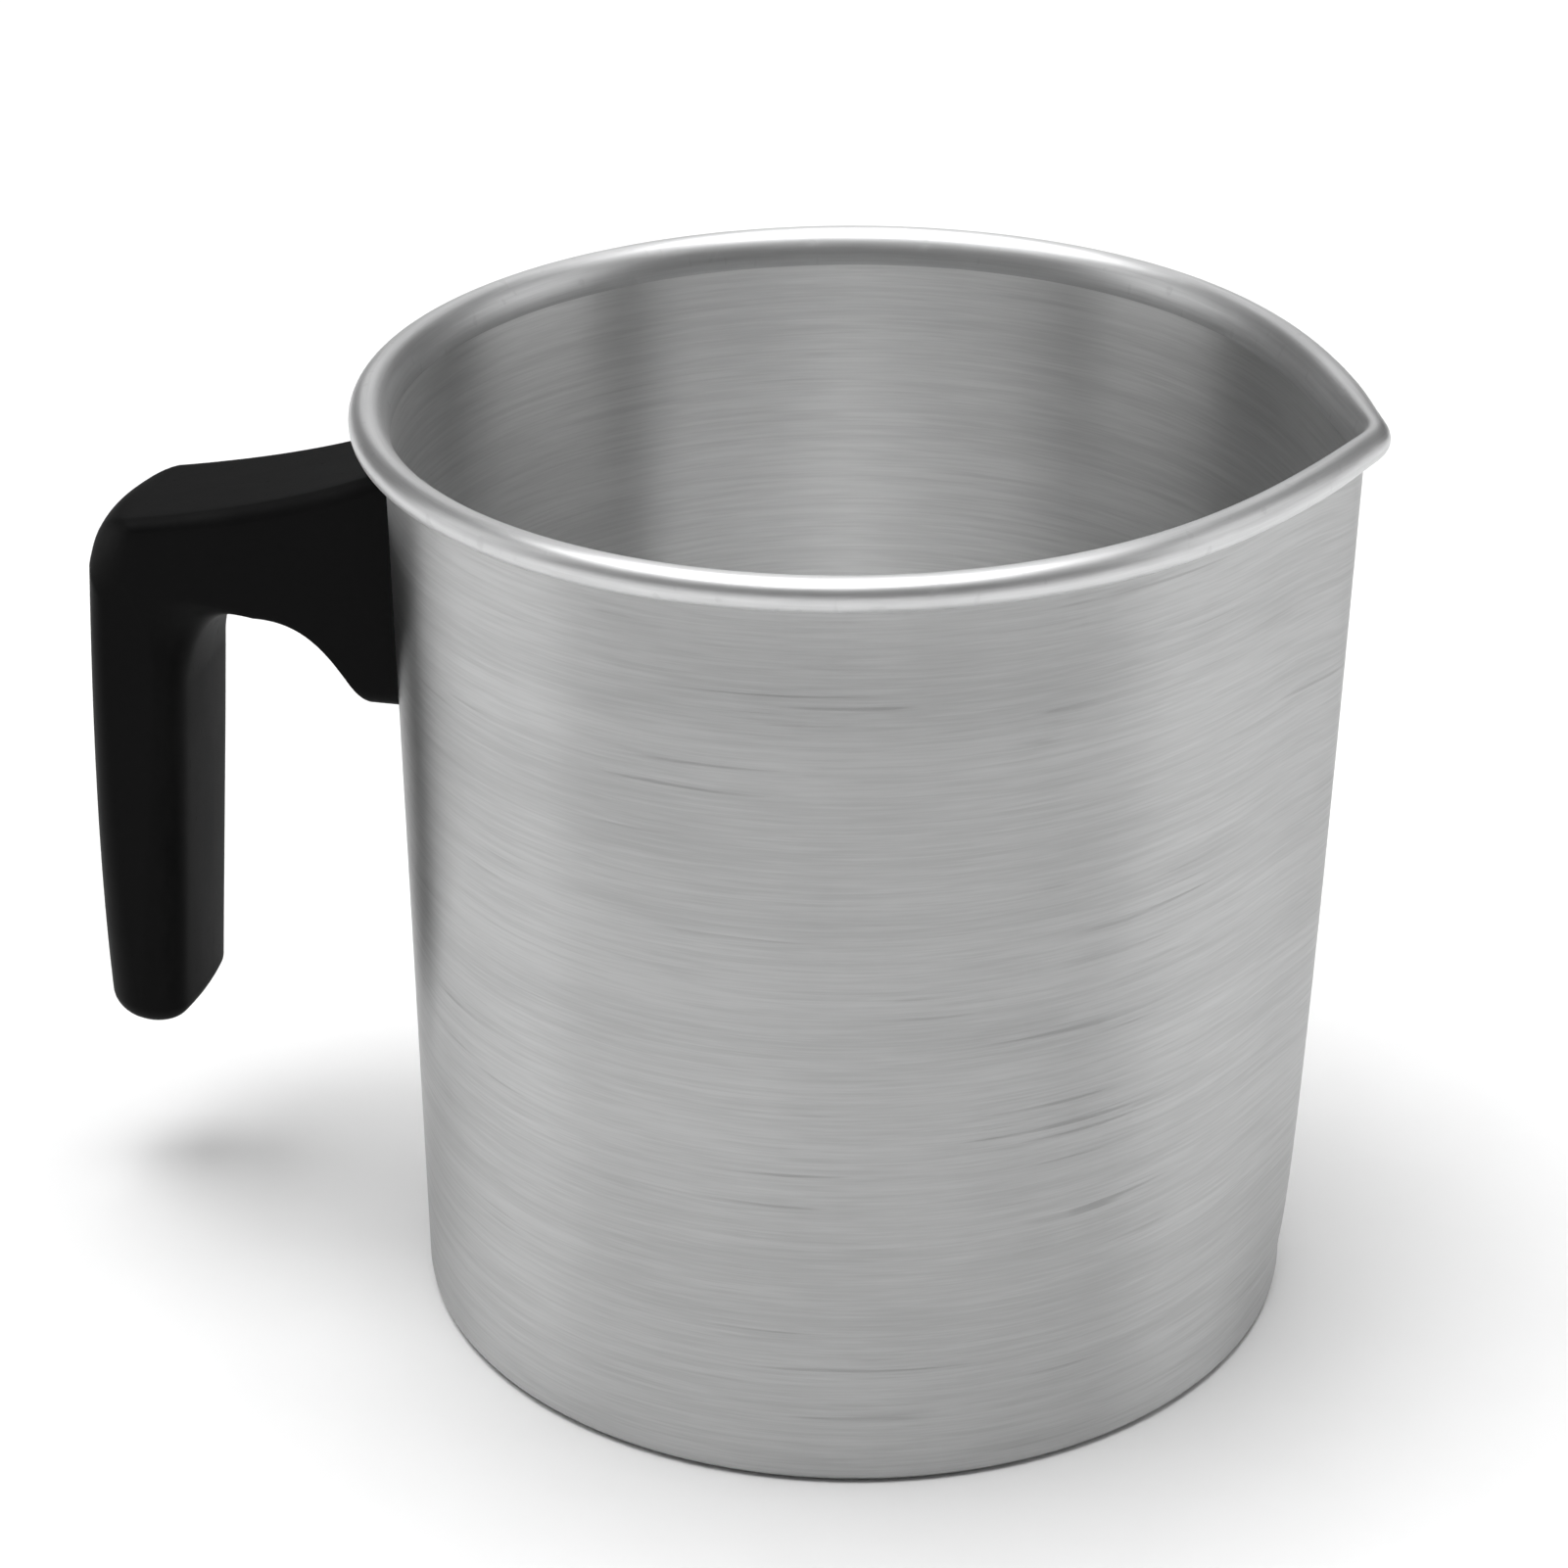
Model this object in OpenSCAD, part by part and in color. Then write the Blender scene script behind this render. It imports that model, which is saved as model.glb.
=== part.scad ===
// Pouring pot for melting wax: a drawn aluminium pot with a curled rim and a pinched lip,
// and a moulded hook handle held by a riveted bracket and one long screw.
// Millimetres, +Z up. The origin is the centre of the base. The lip points along +X and the handle along -X.

/* [Pot] */
// Height from the base to the top of the rim
pot_h = 166; // [150:1:185]
// Outer radius of the wall under the rim
wall_r_top = 78; // [72:0.5:84]
// Outer radius of the wall at the base
wall_r_base = 77.2; // [71:0.1:84]
// Thickness of the sheet
sheet = 1.2; // [1:0.1:1.5]
// Thickness of the flat bottom
base_t = 1.5; // [1:0.1:2.5]
// Outer radius of the corner between base and wall
base_corner_r = 2.2; // [1.8:0.1:5]
// Radius of the curled rim, across the tube
curl_r = 2.85; // [2.6:0.05:3.4]
// Height over which the wall rolls outwards into the rim
roll_h = 6; // [4:0.5:8]

/* [Lip] */
// How far the lip's tip stands out beyond the round wall, at the rim
lip_out = 6.9; // [4:0.1:10]
// How far the wall is drawn in beside the lip
lip_dip = 3.2; // [1:0.1:4]
// Angle over which the lip dies away on each side
lip_spread = 13.5; // [10:0.5:20]
// Angle of rounding at the lip's tip
lip_nose = 1.8; // [1.2:0.1:4]
// Angle over which the drawn-in flanks die away
flank_spread = 65; // [50:1:75]
// Height at which the lip starts above the base
lip_from = 8; // [5:1:60]

/* [Handle] */
// Width of the handle, side to side
handle_w = 30; // [26:0.5:32]
// Height of the handle's top face at the wall
handle_top = 149.2; // [147:0.2:150]
// Height of the lower lip of the arm at the wall
handle_lip = 105.1; // [100:0.1:106]
// Height of the open end of the grip
grip_end = 41; // [30:0.5:52]
// Distance from the pot's axis to the outer face of the grip
grip_out = 137.8; // [136:0.2:142]
// Distance from the pot's axis to the inner face of the grip
grip_in = 118.2; // [116:0.2:119]
// Height of the arch over the fingers
arch_z = 119.1; // [115:0.1:119.5]
// Edge radius on the arm
arm_edge_r = 3; // [2:0.5:4]
// Edge radius on the grip
grip_edge_r = 6; // [4:0.5:6.5]
// How far the grip's outer and inner faces swell between their edges
grip_crown = 1.3; // [0.5:0.1:1.6]
// How much more they swell over the shoulder
shoulder_crown = 1.4; // [0:0.1:2]

/* [Fixing] */
// Height of the handle screw
screw_z = 126.5; // [126:0.5:128]
// Distance of each rivet from the screw's height
rivet_pitch = 11.5; // [11:0.5:12]
// Thickness of the bracket
bracket_t = 1.2; // [1:0.1:1.5]
// Width of the bracket
bracket_w = 15; // [12:0.5:16]
// How far the bracket's bridge stands off the wall
bridge_out = 9; // [8:0.5:9.5]

/* [Hidden] */
$fn = 64;

// The pot is a grid: one section of the sheet at each of these angles, closer together at the lip.
pot_sections = 96;
wall_steps = 9;
curl_steps = 10;
curl_end = -110;            // where the curled edge stops, under the rim
curl_off = curl_r - 0.15;   // from the wall's outer face to the middle of the curl
curl_tuck = 1.6;            // how much closer the curl lies at the lip's tip
tuck_spread = 9;
lip_fade = 0.6;             // the lip grows with this power of the height

// Handle grid
lip_steps = 4;
heel_steps = 3;
rise_steps = 6;
arm_steps = lip_steps + heel_steps + rise_steps;
bend_steps = 7;
grip_steps = 9;
edge_steps = 4;
flat_steps = 4;
end_steps = 3;
grip_end_r = 4;
end_slant = 2.5;             // how much lower the grip ends on its inner side
shoulder_edge = 2;          // extra edge radius over the shoulder
arm_root = 74;              // the arm starts inside the wall and is cut to it
fit_gap = 0.1;              // between parts that meet at the round wall

// Fixing
bore_gap = 0.05;
wall_at_handle = wall_r_base + (wall_r_top - wall_r_base) * screw_z / pot_h + 0.2;
rivet_r = 2;
rivet_head_r = 4;
rivet_head_h = 1.8;
rivet_tail_r = 3.2;
rivet_tail_h = 1.5;
bridge_half = 7.5;
flange_half = rivet_pitch + 3.8;
pocket_gap = 0.8;
screw_r = 2.4;
screw_hole_r = 2.75;
screw_head_r = 4.75;
screw_head_h = 3.4;
washer_r = 5;
washer_t = 1;
spring_t = 1.3;
head_seat = 123.5;          // where the flat washer rests, from the pot's axis
counterbore_r = 5.6;
screw_len = 45;
nut_w = 8;
nut_t = 2.7;

// ---- Pot ----

// Angle of section i. The sections crowd together towards the lip, at angle 0.
function section_angle(i) =
    let (u = 360 * i / pot_sections - 180)
    u - 0.6 * sin(u) * 180 / PI;

// How much of the lip shows at height z, from 0 at lip_from to 1 at the rim.
function lip_share(z) = pow(min(1, max(0, (z - lip_from) / (pot_h - lip_from))), lip_fade);

// Outward shift of the wall at angle a: a narrow lobe for the lip less a wide, shallow dip beside it.
function lip_shift(a) =
    (lip_out + lip_dip) * exp(-(sqrt(a * a + lip_nose * lip_nose) - lip_nose) / lip_spread)
    - lip_dip * exp(-pow(a / flank_spread, 2));

// Outer radius of the wall at angle a and height z.
function wall_r(a, z) =
    wall_r_base + (wall_r_top - wall_r_base) * z / pot_h + lip_share(z) * lip_shift(a);

// Point of the wall's outer face at angle a and height z, moved by off along the outline's own normal.
function wall_point(a, z, off) =
    let (
        step = 0.2,
        r = wall_r(a, z),
        slope = (wall_r(a + step, z) - wall_r(a - step, z)) / (2 * step) * 180 / PI,
        size = sqrt(r * r + slope * slope),
        nx = (r * cos(a) + slope * sin(a)) / size,
        ny = (r * sin(a) - slope * cos(a)) / size
    )
    [r * cos(a) + nx * off, r * sin(a) + ny * off, z];

// Offset of the middle of the curl from the wall's outer face.
function curl_mid(a) = curl_off - curl_tuck * exp(-pow(a / tuck_spread, 2));

// Section of the sheet at angle a, from the middle of the inside to the middle of the underside.
function sheet_section(a) =
    let (
        top = pot_h - roll_h,
        inner_corner = base_corner_r - sheet
    )
    concat(
        [for (k = [0 : 2]) let (b = 90 * k / 2)
            wall_point(a, base_t + inner_corner * (1 - cos(b)), -sheet - inner_corner * (1 - sin(b)))],
        [for (k = [1 : wall_steps])
            wall_point(a, base_t + inner_corner + (top - base_t - inner_corner) * k / wall_steps, -sheet)],
        [for (k = [1 : curl_steps]) curl_point(a, 180 + (curl_end - 180) * k / curl_steps, 0)],
        [for (k = [curl_steps : -2 : 2]) curl_point(a, 180 + (curl_end - 180) * k / curl_steps, sheet)],
        [for (k = [wall_steps : -1 : 1])
            wall_point(a, base_corner_r + (top - base_corner_r) * k / wall_steps, 0)],
        [for (k = [2 : -1 : 0]) let (b = 90 * k / 2)
            wall_point(a, base_corner_r * (1 - cos(b)), -base_corner_r * (1 - sin(b)))]
    );

// Point of the curl at angle a around the pot and b around the tube, moved inwards by depth. The tube is round
// on its outer half, and its inner half is a taller, wider ellipse that runs straight into the wall.
function curl_point(a, b, depth) =
    let (
        mid = curl_mid(a),
        reach = b > 90 ? mid + sheet : curl_r,
        lift = b > 90 ? roll_h : curl_r
    )
    wall_point(a, pot_h - lift + (lift - depth) * sin(b), mid + (reach - depth) * cos(b));

module pot_shell() {
    sections = [for (i = [0 : pot_sections - 1]) sheet_section(section_angle(i))];
    n = len(sections[0]);
    points = concat([for (s = sections) each s], [[0, 0, base_t], [0, 0, 0]]);
    inside_mid = pot_sections * n;
    underside_mid = inside_mid + 1;
    faces = [for (i = [0 : pot_sections - 1]) let (a = i * n, b = ((i + 1) % pot_sections) * n) each concat(
        [for (k = [0 : n - 2]) each [[a + k, a + k + 1, b + k + 1], [a + k, b + k + 1, b + k]]],
        [[inside_mid, a, b], [underside_mid, b + n - 1, a + n - 1]]
    )];
    polyhedron(points = points, faces = faces, convexity = 10);
}

module pot_body() {
    color([0.75, 0.76, 0.76])
    difference() {
        pot_shell();
        for (s = [-1, 1])
            along_handle(wall_at_handle - 6, screw_z + s * rivet_pitch)
                cylinder(r = rivet_r + bore_gap, h = 12);
    }
}

// ---- Handle ----

// Bezier curve through its first and last control points, at t from 0 to 1.
function bezier(p, t) =
    len(p) == 1 ? p[0] : bezier([for (i = [0 : len(p) - 2]) p[i] * (1 - t) + p[i + 1] * t], t);

function smooth(t) = t * t * (3 - 2 * t);

// Side view of the handle as [distance from the pot's axis, height]: its upper and outer outline.
top_line = [[arm_root, handle_top + 1.6], [92, handle_top - 7.9], [126, handle_top - 13.6]];
corner_line = [[126, handle_top - 13.6], [134.2, handle_top - 13.8], [grip_out - 3.1, handle_top - 22.6]];
back_line = [[grip_out - 3.1, handle_top - 22.6], [grip_out - 1.5, 104], [grip_out + 0.8, 70],
             [grip_out, grip_end]];
// The lower and inner outline, paired with it: the lip at the wall, its rounded heel, the rise to the arch,
// the arch itself and the front of the grip.
lip_line = [[arm_root, handle_lip], [82.4, handle_lip]];
heel_line = [[82.4, handle_lip], [84.4, handle_lip], [85.9, handle_lip + 2.8]];
rise_line = [[85.9, handle_lip + 2.8], [89.6, arch_z - 5.2], [93.2, arch_z], [102.5, arch_z]];
arch_line = [[102.5, arch_z], [109.5, arch_z], [grip_in - 2.2, arch_z - 3.6], [grip_in - 0.3, arch_z - 15.6]];
front_line = [[grip_in - 0.3, arch_z - 15.6], [grip_in + 1.2, 82], [grip_in + 2.8, 60],
              [grip_in + 4.4, grip_end - end_slant]];

// Points of a curve at count even steps, its first point left out.
function walk(p, count) = [for (k = [1 : count]) bezier(p, k / count)];

// Stations along the handle: [outer point, inner point, how far along the bend it lies, from 0 to 1].
function handle_stations() =
    let (
        outer = concat([top_line[0]], walk(top_line, arm_steps), walk(corner_line, bend_steps),
            walk(back_line, grip_steps)),
        inner = concat([lip_line[0]], walk(lip_line, lip_steps), walk(heel_line, heel_steps),
            walk(rise_line, rise_steps), walk(arch_line, bend_steps), walk(front_line, grip_steps))
    )
    [for (k = [0 : len(outer) - 1]) [outer[k], inner[k], min(1, max(0, (k - arm_steps) / bend_steps))]];

// Height of a side above the middle of the section at y: it swells by a parabola across the width.
function swell(crown, half_w, y) = crown * (1 - pow(y / half_w, 2));

// Rounded rectangle across the handle at one station, drawn in by inset and moved down by drop.
// On the grip its outer and inner sides are crowned, and most of all over the shoulder of the bend.
function handle_ring(station, inset, drop) =
    let (
        mid = (station[0] + station[1]) / 2,
        span = norm(station[0] - station[1]),
        dir = (station[0] - station[1]) / span,
        grip = smooth(station[2]),
        shoulder = sin(180 * station[2]),
        crown = grip_crown * grip + shoulder_crown * shoulder,
        half_h = span / 2 - crown - inset,
        half_w = handle_w / 2 - inset,
        edge = arm_edge_r + (grip_edge_r - arm_edge_r) * grip + shoulder_edge * shoulder,
        r = min(edge, half_h - 0.3, half_w - 0.3),
        outline = [for (sh = [1, -1]) each concat(
            [for (k = [0 : edge_steps]) let (b = 90 * k / edge_steps)
                [sh * (half_w - r + r * cos(b)), sh * (half_h - r + r * sin(b)), sh]],
            [for (k = [1 : flat_steps - 1]) [sh * (half_w - r) * (1 - 2 * k / flat_steps), sh * half_h, sh]],
            [for (k = [edge_steps : -1 : 0]) let (b = 90 * k / edge_steps)
                [-sh * (half_w - r + r * cos(b)), sh * (half_h - r + r * sin(b)), sh]]
        )]
    )
    [for (p = outline) let (h = p[1] + p[2] * swell(crown, half_w, p[0]))
        [-(mid[0] + dir[0] * h), p[0], mid[1] + dir[1] * h - drop]];

module handle_solid() {
    stations = handle_stations();
    last = stations[len(stations) - 1];
    rings = concat(
        [for (s = stations) handle_ring(s, 0, 0)],
        [for (k = [1 : end_steps]) let (b = 90 * k / end_steps)
            handle_ring(last, grip_end_r * (1 - cos(b)), grip_end_r * sin(b))]
    );
    m = len(rings[0]);
    count = len(rings);
    sides = [for (i = [0 : count - 2], k = [0 : m - 1])
        let (a = i * m, b = (i + 1) * m, n = (k + 1) % m)
        each [[a + k, b + k, b + n], [a + k, b + n, a + n]]];
    caps = [[for (k = [0 : m - 1]) k], [for (k = [m - 1 : -1 : 0]) (count - 1) * m + k]];
    polyhedron(points = [for (r = rings) each r], faces = concat(sides, caps), convexity = 6);
}

// Puts a child's +Z along the handle, at distance d from the pot's axis and height z.
module along_handle(d, z) {
    translate([-d, 0, z]) rotate([0, -90, 0]) children();
}

// A block from distance d0 to d1 along the handle, between heights z0 and z1.
module handle_block(d0, d1, z0, z1, w) {
    translate([-d1, -w / 2, z0]) cube([d1 - d0, w, z1 - z0]);
}

module handle() {
    flange_space = flange_half + pocket_gap;
    bridge_space = bridge_half + bracket_t + pocket_gap;
    pocket_w = bracket_w + 2 * pocket_gap;
    color([0.06, 0.06, 0.065])
    difference() {
        handle_solid();
        cylinder(r = wall_at_handle + fit_gap, h = pot_h, $fn = 128);
        handle_block(arm_root, wall_at_handle + 4, screw_z - flange_space, screw_z + flange_space, pocket_w);
        handle_block(arm_root, wall_at_handle + bridge_out + pocket_gap,
            screw_z - bridge_space, screw_z + bridge_space, pocket_w);
        along_handle(arm_root, screw_z) cylinder(r = screw_hole_r, h = 80);
        along_handle(head_seat, screw_z) cylinder(r = counterbore_r, h = 30);
    }
}

// ---- Fixing ----

module handle_bracket() {
    inner = wall_at_handle + fit_gap;
    outer = inner + bracket_t;
    bridge = wall_at_handle + bridge_out;
    color([0.7, 0.71, 0.72])
    difference() {
        union() {
            intersection() {
                difference() {
                    cylinder(r = outer, h = pot_h, $fn = 128);
                    translate([0, 0, -1]) cylinder(r = inner, h = pot_h + 2, $fn = 128);
                }
                handle_block(60, 90, screw_z - flange_half, screw_z + flange_half, bracket_w);
            }
            for (s = [-1, 1])
                handle_block(inner + 0.6, bridge, screw_z + s * bridge_half - bracket_t / 2,
                    screw_z + s * bridge_half + bracket_t / 2, bracket_w);
            handle_block(bridge - bracket_t, bridge, screw_z - bridge_half - bracket_t / 2,
                screw_z + bridge_half + bracket_t / 2, bracket_w);
        }
        // The strip is open between the two legs, behind the bridge.
        handle_block(60, bridge - bracket_t, screw_z - bridge_half + bracket_t / 2,
            screw_z + bridge_half - bracket_t / 2, bracket_w + 2);
        along_handle(60, screw_z) cylinder(r = screw_hole_r, h = 40);
        for (s = [-1, 1])
            along_handle(60, screw_z + s * rivet_pitch) cylinder(r = rivet_r + bore_gap, h = 40);
    }
}

// Rivet through wall and bracket: a domed head inside the pot, a flat tail on the bracket.
module rivet(z) {
    seat = wall_at_handle - 0.2 - sheet - 0.2;
    tail = wall_at_handle + fit_gap + bracket_t + 0.05;
    dome_r = (rivet_head_r * rivet_head_r + rivet_head_h * rivet_head_h) / (2 * rivet_head_h);
    color([0.8, 0.8, 0.81]) {
        along_handle(seat, z)
            rotate([0, 180, 0])
                intersection() {
                    cylinder(r = rivet_head_r, h = rivet_head_h);
                    translate([0, 0, rivet_head_h - dome_r]) sphere(r = dome_r);
                }
        along_handle(seat, z) cylinder(r = rivet_r, h = tail - seat);
        along_handle(tail, z) cylinder(r = rivet_tail_r, h = rivet_tail_h);
    }
}

module rivet_upper() { rivet(screw_z + rivet_pitch); }
module rivet_lower() { rivet(screw_z - rivet_pitch); }

// Pan-head screw with a cross recess. Its thread is left plain.
module handle_screw() {
    seat = head_seat + washer_t + spring_t;
    edge = 1.2;
    color([0.7, 0.71, 0.73])
    difference() {
        along_handle(seat, screw_z)
            rotate_extrude()
                polygon([[0, -screw_len], [screw_r - 0.5, -screw_len], [screw_r, -screw_len + 0.5], [screw_r, 0],
                    [screw_head_r, 0], [screw_head_r, screw_head_h - edge],
                    [screw_head_r - 0.5, screw_head_h - 0.5], [screw_head_r - edge, screw_head_h],
                    [0, screw_head_h]]);
        for (turn = [0, 90])
            along_handle(seat + screw_head_h - 1.8, screw_z)
                rotate([0, 0, turn]) translate([-2.6, -0.5, 0]) cube([5.2, 1, 3]);
    }
}

// Flat ring around the screw, from distance d outwards.
module ring_on_screw(d, r_out, r_in, t) {
    along_handle(d, screw_z)
        difference() {
            cylinder(r = r_out, h = t);
            translate([0, 0, -1]) cylinder(r = r_in, h = t + 2);
        }
}

module flat_washer() {
    color([0.72, 0.73, 0.74])
    ring_on_screw(head_seat, washer_r, screw_r + 0.2, washer_t);
}

module spring_washer() {
    color([0.6, 0.61, 0.62])
    difference() {
        ring_on_screw(head_seat + washer_t, 4.5, screw_r + 0.1, spring_t);
        along_handle(head_seat + washer_t - 1, screw_z)
            rotate([0, 20, 0]) translate([-0.4, 2, -2]) cube([0.8, 4, 6]);
    }
}

// Square nut held from turning behind the bracket's bridge.
module bracket_nut() {
    face = wall_at_handle + bridge_out - bracket_t;
    color([0.66, 0.67, 0.69])
    difference() {
        handle_block(face - nut_t, face, screw_z - nut_w / 2, screw_z + nut_w / 2, nut_w);
        along_handle(60, screw_z) cylinder(r = screw_r + bore_gap, h = 40);
    }
}

pot_body();
handle();
handle_bracket();
rivet_upper();
rivet_lower();
handle_screw();
flat_washer();
spring_washer();
bracket_nut();
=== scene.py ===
"""The looks of a candle melting pot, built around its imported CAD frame.

The pot is one drawn aluminium sheet with a curled rim and a pinched lip. A black phenolic hook handle is held
to it by a riveted bracket and one long screw. Lengths in the classes are millimetres in the frame's own axes,
+Z up, +X towards the lip and -X towards the handle; meshes are written in metres.
"""

import logging
import math
from collections.abc import Sequence
from dataclasses import dataclass, field
from enum import Enum, IntEnum
from functools import cache

import bpy
import numpy as np
from mathutils import Matrix, Vector


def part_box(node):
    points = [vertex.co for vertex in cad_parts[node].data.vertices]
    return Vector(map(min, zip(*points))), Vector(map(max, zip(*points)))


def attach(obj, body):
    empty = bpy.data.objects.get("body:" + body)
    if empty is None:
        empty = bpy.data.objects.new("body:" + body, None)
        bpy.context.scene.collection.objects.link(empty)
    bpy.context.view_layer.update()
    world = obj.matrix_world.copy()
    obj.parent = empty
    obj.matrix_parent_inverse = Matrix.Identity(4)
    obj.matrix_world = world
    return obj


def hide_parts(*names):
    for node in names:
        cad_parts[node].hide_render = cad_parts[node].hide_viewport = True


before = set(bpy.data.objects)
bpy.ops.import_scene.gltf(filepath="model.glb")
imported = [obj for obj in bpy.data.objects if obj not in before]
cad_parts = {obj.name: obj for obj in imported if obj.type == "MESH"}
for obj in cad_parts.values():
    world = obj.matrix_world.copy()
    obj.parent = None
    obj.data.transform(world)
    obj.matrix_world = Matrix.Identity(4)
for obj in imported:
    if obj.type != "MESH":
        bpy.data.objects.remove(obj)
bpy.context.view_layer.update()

MM = 0.001
ACROSS_GROOVES = 0.25  # of a turn: the brushed metal spreads its highlights across the grooves
LOG = logging.getLogger("melting_pot")


# ---------------------------------------------------------------- shader graphs


class Signal:
    """One value output in a shader graph. Arithmetic on it adds Math nodes."""

    def __init__(self, graph: "ShaderGraph", socket: bpy.types.NodeSocket) -> None:
        """Wrap a socket of the graph."""
        self.graph = graph
        self.socket = socket

    def _maths(self, operation: str, *values: "Signal | float", clamp: bool = False) -> "Signal":
        """Add one Math node.

        Args:
            operation: The node's operation.
            values: Its inputs in order, as signals or numbers.
            clamp: Whether the result is held between 0 and 1.

        Returns:
            The node's value.
        """
        settings = {"operation": operation, "use_clamp": clamp}
        return self.graph.add("ShaderNodeMath", settings, dict(enumerate(values)))

    def __add__(self, other: "Signal | float") -> "Signal":
        """Sum of two signals."""
        return self._maths("ADD", self, other)

    def __radd__(self, other: float) -> "Signal":
        """Sum with a number on the left."""
        return self._maths("ADD", other, self)

    def __sub__(self, other: "Signal | float") -> "Signal":
        """Difference of two signals."""
        return self._maths("SUBTRACT", self, other)

    def __rsub__(self, other: float) -> "Signal":
        """A number less the signal."""
        return self._maths("SUBTRACT", other, self)

    def __mul__(self, other: "Signal | float") -> "Signal":
        """Product of two signals."""
        return self._maths("MULTIPLY", self, other)

    def __rmul__(self, other: float) -> "Signal":
        """Product with a number on the left."""
        return self._maths("MULTIPLY", other, self)

    def clamped(self) -> "Signal":
        """The signal held between 0 and 1."""
        return self._maths("ADD", self, 0.0, clamp=True)

    def ramp(self, low: float, high: float, bottom: float = 0.0, top: float = 1.0) -> "Signal":
        """Smooth step of the signal.

        Args:
            low: The value that becomes bottom.
            high: The value that becomes top.
            bottom: The result at low and before it.
            top: The result at high and past it.

        Returns:
            A signal from bottom to top.
        """
        settings = {"interpolation_type": "SMOOTHSTEP", "clamp": True}
        inputs = {"Value": self, "From Min": low, "From Max": high, "To Min": bottom, "To Max": top}
        return self.graph.add("ShaderNodeMapRange", settings, inputs)


class ShaderGraph:
    """The node tree of a material or of the world."""

    def __init__(self, owner: bpy.types.Material | bpy.types.World) -> None:
        """Empty the tree.

        Args:
            owner: The material or world that the tree belongs to.
        """
        self.owner = owner
        self.owner.use_nodes = True
        self.tree = self.owner.node_tree
        self.tree.nodes.clear()
        self.columns = 0

    @classmethod
    def of_material(cls, name: str) -> "ShaderGraph":
        """The empty tree of a new material of that name."""
        return cls(bpy.data.materials.new(name))

    def node(self, kind: str, settings: dict | None = None, inputs: dict | None = None) -> bpy.types.Node:
        """Add a node of any type.

        Args:
            kind: The node's type.
            settings: Its properties, which are set first.
            inputs: Its sockets by name or number, as signals to link or values to set.

        Returns:
            The node.
        """
        node = self.tree.nodes.new(kind)
        node.location = (self.columns * 40, 0)
        self.columns += 1
        for key, value in (settings or {}).items():
            setattr(node, key, value)
        for key, value in (inputs or {}).items():
            if isinstance(value, Signal):
                self.tree.links.new(value.socket, node.inputs[key])
            else:
                node.inputs[key].default_value = value
        return node

    def add(
        self, kind: str, settings: dict | None = None, inputs: dict | None = None, out: int | str = 0
    ) -> Signal:
        """Add a node and read one of its outputs.

        Args:
            kind: The node's type.
            settings: Its properties, which are set first.
            inputs: Its sockets by name or number, as signals to link or values to set.
            out: The output that is read, by name or number.

        Returns:
            That output as a signal.
        """
        return Signal(self, self.node(kind, settings, inputs).outputs[out])

    def place(self) -> tuple[Signal, Signal, Signal]:
        """Read where the surface is, on the object's own axes.

        Returns:
            Its x, y and z in millimetres.
        """
        at = self.add("ShaderNodeTexCoord", out="Object")
        parts = [self.add("ShaderNodeSeparateXYZ", inputs={0: at}, out=axis) for axis in "XYZ"]
        return tuple(part * (1 / MM) for part in parts)

    def attribute(self, name: str) -> Signal:
        """A number that the mesh holds at each point."""
        return self.add("ShaderNodeAttribute", {"attribute_name": name}, out="Fac")

    def noise(self, where: Sequence["Signal | float"], detail: float = 2.0, rough: float = 0.5) -> Signal:
        """Fractal noise with a mean of one half.

        Args:
            where: The three coordinates it is read at, one feature to a unit.
            detail: How many octaves it has.
            rough: How strong each octave is beside the last.

        Returns:
            The noise as a signal.
        """
        vector = self.add("ShaderNodeCombineXYZ", inputs=dict(enumerate(where)))
        inputs = {"Vector": vector, "Scale": 1.0, "Detail": detail, "Roughness": rough}
        return self.add("ShaderNodeTexNoise", {"noise_dimensions": "3D"}, inputs)

    def blend(self, share: Signal, low: Sequence[float], high: Sequence[float]) -> Signal:
        """A colour between two colours.

        Args:
            share: 0 for the first and 1 for the second.
            low: The first colour's red, green and blue.
            high: The second colour's.

        Returns:
            The mixed colour.
        """
        factor, first, second, mixed = 0, 6, 7, 2
        inputs = {factor: share, first: (*low, 1.0), second: (*high, 1.0)}
        return self.add("ShaderNodeMix", {"data_type": "RGBA"}, inputs, out=mixed)

    def bump(self, height: Signal, depth_mm: float, strength: float = 1.0) -> Signal:
        """A normal bent by a height.

        Args:
            height: The height, where 1 stands depth_mm above 0.
            depth_mm: The depth in millimetres.
            strength: How much of the bend shows.

        Returns:
            The normal.
        """
        return self.add(
            "ShaderNodeBump", inputs={"Height": height, "Distance": depth_mm * MM, "Strength": strength}
        )

    def finish(self, **sockets: "Signal | float | Sequence[float]") -> bpy.types.Material:
        """End a material's tree in a Principled shader.

        Args:
            sockets: Its inputs, with underscores for spaces.

        Returns:
            The material.
        """
        inputs = {key.replace("_", " "): value for key, value in sockets.items()}
        shader = self.add("ShaderNodeBsdfPrincipled", inputs=inputs)
        self.node("ShaderNodeOutputMaterial", inputs={"Surface": shader})
        return self.owner


# ---------------------------------------------------------------- finishes


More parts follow.
